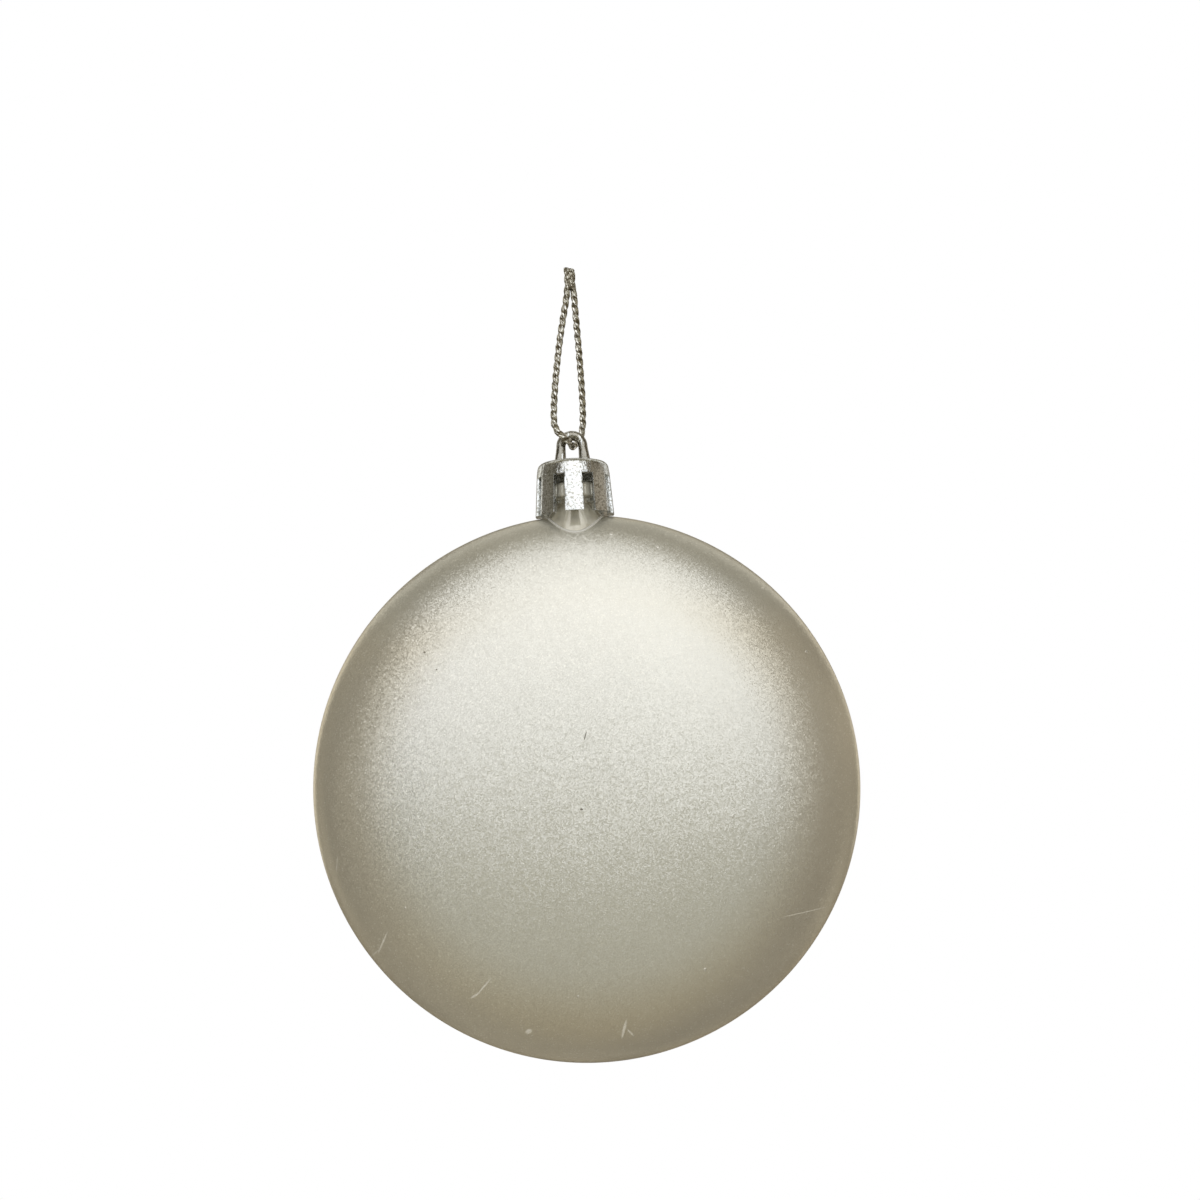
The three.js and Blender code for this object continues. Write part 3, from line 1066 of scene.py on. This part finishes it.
def fused_thread():
    """The same film and core melted together."""
    material, f = new_finish("fused_thread")
    place = f.place()
    lump = f.noise(place, 0.45 * MM, 2.0)
    fibre = f.noise(place, 0.16 * MM, 2.0)
    film = f.step(lump * 0.6 + fibre * 0.4, 0.44, 0.56)
    dark = f.mixed(fibre, (0.1, 0.078, 0.042, 1), (0.3, 0.265, 0.19, 1))
    bright = f.mixed(fibre, (0.5, 0.475, 0.39, 1), (0.95, 0.93, 0.86, 1))
    relief = f.bump(fibre * 0.5 + lump * 0.5, 0.1 * MM, 1.0)
    f.surface(
        {
            "Base Color": f.mixed(film, dark, bright),
            "Metallic": 0.9,
            "Roughness": 0.4 - 0.18 * film,
            "Normal": relief,
        }
    )
    return material


def floor_finish():
    """Matt and pale, with a little light of its own so that it doesn't look grey."""
    material, f = new_finish("pale_floor")
    tone = f.mixed(f.noise(f.place(), 200 * MM), (0.86, 0.86, 0.85, 1), (0.9, 0.9, 0.89, 1))
    f.surface({"Base Color": tone, "Roughness": 0.9, "Emission Color": tone, "Emission Strength": 0.12})
    return material


def cover(piece, material):
    piece.data.materials.clear()
    piece.data.materials.append(material)


# ---------------------------------------------------------------- surroundings


def studio():
    """A white room to look at, and a soft studio for the ornament to reflect.

    A large oval panel with a lamp in it stands in front and above, and a dim one to the right. Two
    tall panels and a high one light the far side. The walls and the ground are dim and warm."""
    world = bpy.data.worlds.new("studio")
    bpy.context.scene.world = world
    world.use_nodes = True
    f = Finish(world.node_tree)
    direction = f.node("ShaderNodeTexCoord", output="Generated")
    x = f.part_of(direction, "X")
    y = f.part_of(direction, "Y")
    z = f.part_of(direction, "Z")
    in_front = f.step(y, 0.0, -0.2)
    behind = f.step(y, -0.1, 0.25)
    half_width = 0.62
    half_height = 0.91
    oval = (x * x * (1 / half_width**2) + z * z * (1 / half_height**2)).maths("SQRT", None, 0)
    in_oval = f.step(oval, 1.08, 0.94) * in_front
    above = f.step(z, -0.065, 0.01)
    lamp_offset = f.node(
        "ShaderNodeVectorMath",
        {"operation": "DISTANCE"},
        {0: direction, 1: Vector((0.1, -1, 0.66)).normalized()},
        "Value",
    )
    lamp = f.step(lamp_offset, 0.06, 0.045)
    to_the_right = f.step(x, -0.5, 0.5)
    wall = f.mixed(to_the_right, (0.155, 0.14, 0.105, 1), (0.17, 0.14, 0.095, 1))
    ground = f.mixed(to_the_right, (0.21, 0.185, 0.13, 1), (0.07, 0.05, 0.025, 1))
    far_wall = f.mixed(to_the_right, (0.26, 0.235, 0.185, 1), (0.22, 0.19, 0.14, 1))
    ceiling = (0.25, 0.22, 0.14, 1)
    low_panel = f.mixed(f.step(z, -0.4, -0.85), (0.35, 0.335, 0.24, 1), (0.24, 0.19, 0.09, 1))
    high_panel = f.mixed(f.step(z, 0.1, 0.5), (1.32, 1.35, 1.38, 1), (1.52, 1.51, 1.47, 1))
    high_panel = f.mixed(f.step(z, 0.55, 0.9), high_panel, (1.15, 1.15, 1.13, 1))
    brighter_right = f.mixed(to_the_right, (0.9, 0.9, 0.91, 1), (1.06, 1.06, 1.06, 1))
    high_panel = f.multiplied(1.0, high_panel, brighter_right)
    room = f.mixed(f.step(z, -0.15, -0.6), wall, ground)
    room = f.mixed(behind, room, far_wall)
    room = f.mixed(f.step(z, 0.45, 0.8), room, ceiling)
    room = f.mixed(behind * f.step(z, 0.6, 0.8), room, (0.75, 0.73, 0.66, 1))
    off_middle = x.maths("ABSOLUTE", None, 0)
    back_panels = f.step(off_middle, 0.5, 0.58) * f.step(off_middle, 0.86, 0.78) * f.step(y, 0.3, 0.45)
    room = f.mixed(back_panels * f.step(z, -0.25, -0.1), room, (1.2, 1.18, 1.1, 1))
    strips = f.noise(f.stretched(direction, (1, 1, 0.2)), 0.16, 2.0)
    room = f.mixed(f.step(strips, 0.48, 0.42) * 0.65, room, (0.035, 0.03, 0.022, 1))
    room = f.mixed(f.step(strips, 0.56, 0.62) * 0.5, room, (0.72, 0.68, 0.56, 1))
    beside = f.step(x, 0.85, 0.95) * f.step(z, 0.04, 0.1) * f.step(z, 0.4, 0.3)
    room = f.mixed(beside, room, (0.42, 0.37, 0.29, 1))
    room = f.mixed(in_oval, room, low_panel)
    room = f.mixed(in_oval * above, room, high_panel)
    room = f.mixed(lamp, room, (3.0, 2.95, 2.8, 1))
    seen = f.node("ShaderNodeLightPath", output="Is Camera Ray")
    shown = f.mixed(seen, room, (1.0, 1.0, 1.0, 1))
    light = f.node("ShaderNodeBackground", {}, {"Color": shown, "Strength": 1.0})
    f.node("ShaderNodeOutputWorld", {}, {"Surface": light})
    bpy.context.scene.view_settings.view_transform = "Standard"


def floor():
    """A plain pale floor, well below the hanging ornament."""
    drop = 160
    radius = 480
    start()
    bpy.ops.mesh.primitive_circle_add(
        vertices=128,
        radius=radius * MM,
        fill_type="NGON",
        location=(0, 0, (shell_low.z - drop) * MM),
    )
    piece = named("floor")
    cover(piece, floor_finish())
    piece.visible_glossy = False


# ---------------------------------------------------------------- putting it together


def place_on(piece, body, slot, *nodes):
    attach(piece, body)
    if nodes:
        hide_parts(*nodes)


camera()
studio()
floor()

cord_piece, route, cord_length = cord()
to_metres(cord_piece)
cover(cord_piece, metallic_thread())
weld_piece = fused_end()
to_metres(weld_piece)
cover(weld_piece, fused_thread())
place_on(cord_piece, "cord", "silver_cord", "cord_loop")
place_on(weld_piece, "cord", "silver_cord", "cord_weld")
tuple(route[0] * MM)
cord_length * MM
[tuple(point * MM) for point in route]

pearl = pearl_paint()
for name, side, node in (("front_half", -1, "front_shell"), ("back_half", 1, "back_shell")):
    shell = half_shell(name, side)
    to_metres(shell)
    cover(shell, pearl)
    place_on(shell, "disc", "pearl_shell", node)

neck_piece = neck()
fillet_piece = neck_fillet()
for piece, finish in ((neck_piece, glossy_plastic()), (fillet_piece, painted_highlight_bead())):
    to_metres(piece)
    cover(piece, finish)
place_on(neck_piece, "disc", "glossy_neck", "neck")
place_on(fillet_piece, "disc", "glossy_neck")

cap_piece = hanger_cap()
to_metres(cap_piece)
cover(cap_piece, silvered_plastic())
place_on(cap_piece, "cap", "silvered_cap", "hanger_cap")
